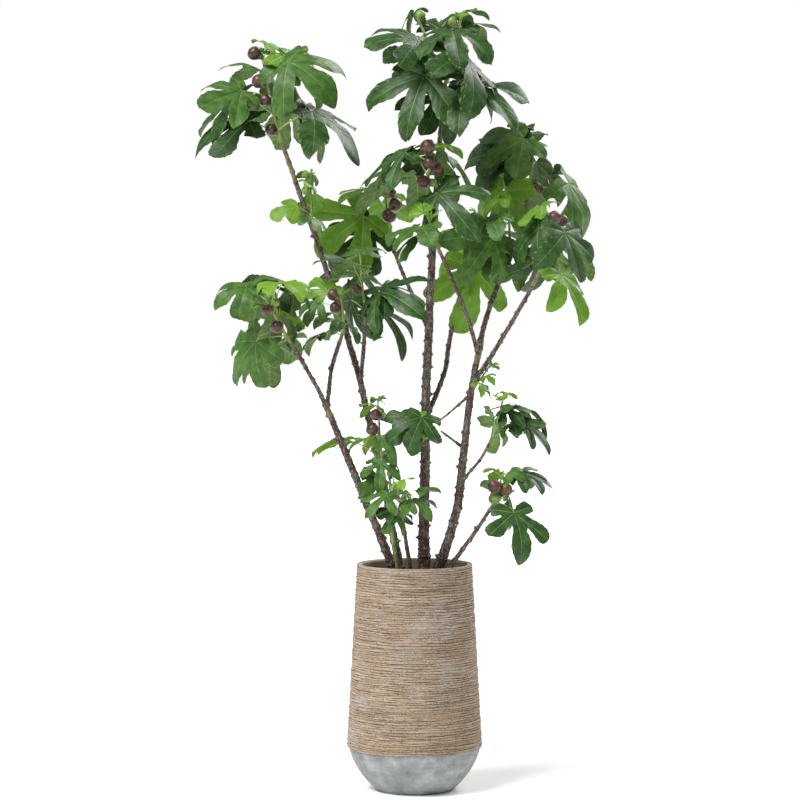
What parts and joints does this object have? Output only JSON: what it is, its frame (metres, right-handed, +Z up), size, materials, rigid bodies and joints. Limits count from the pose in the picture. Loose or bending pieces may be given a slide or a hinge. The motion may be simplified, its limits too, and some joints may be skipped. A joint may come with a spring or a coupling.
{
  "type": "fig tree in a pot",
  "caption": "Multi-stem fig tree with an open crown of lobed leaves and ripening fruit, in a tall round pot with a ribbed sleeve over a rounded concrete foot.",
  "frame": {"origin": "centre of the pot's flat underside, where it stands on the floor", "axes": "+Z up the pot and the trunks; the front is the -Y side and +X is its right"},
  "size_m": [1.1055, 0.7935, 2.1469],
  "materials": {
    "concrete": "matte",
    "sleeve": "matte",
    "soil": "matte",
    "bark": "matte",
    "green_stem": "satin",
    "foliage": "satin"
  },
  "bodies": {
    "root": {"pot_body": "concrete", "pot_sleeve": "sleeve", "soil": "soil", "trunk_left": "bark", "trunk_back_left": "bark", "trunk_centre": "bark", "trunk_right": "bark", "stem_right_low": "bark", "stem_centre_low": "bark", "bough_left_outer": "bark", "bough_left_inner": "bark", "bough_back_left": "bark", "bough_centre_left": "bark", "bough_centre_right": "bark", "bough_centre_back": "bark", "bough_right_main": "bark", "bough_right_outer": "bark", "bough_right_inner": "bark", "bough_right_side": "bark", "twig_right_upper": "bark", "twig_right_lower": "bark", "twig_right_outer": "bark", "stem_left_low": "green_stem", "foliage_top_left": "foliage", "foliage_left_spur": "foliage", "foliage_top_centre": "foliage", "foliage_centre": "foliage", "foliage_right_top": "foliage", "foliage_right_outer": "foliage", "foliage_left": "foliage", "foliage_middle": "foliage", "foliage_middle_left": "foliage", "foliage_centre_back": "foliage", "foliage_right_inner": "foliage", "foliage_centre_front": "foliage", "foliage_right_back": "foliage", "foliage_low_left": "foliage", "foliage_low_front": "foliage", "foliage_low_centre": "foliage", "foliage_low_right": "foliage", "foliage_foot_right": "foliage", "foliage_tuft": "foliage"}
  },
  "joints": []
}
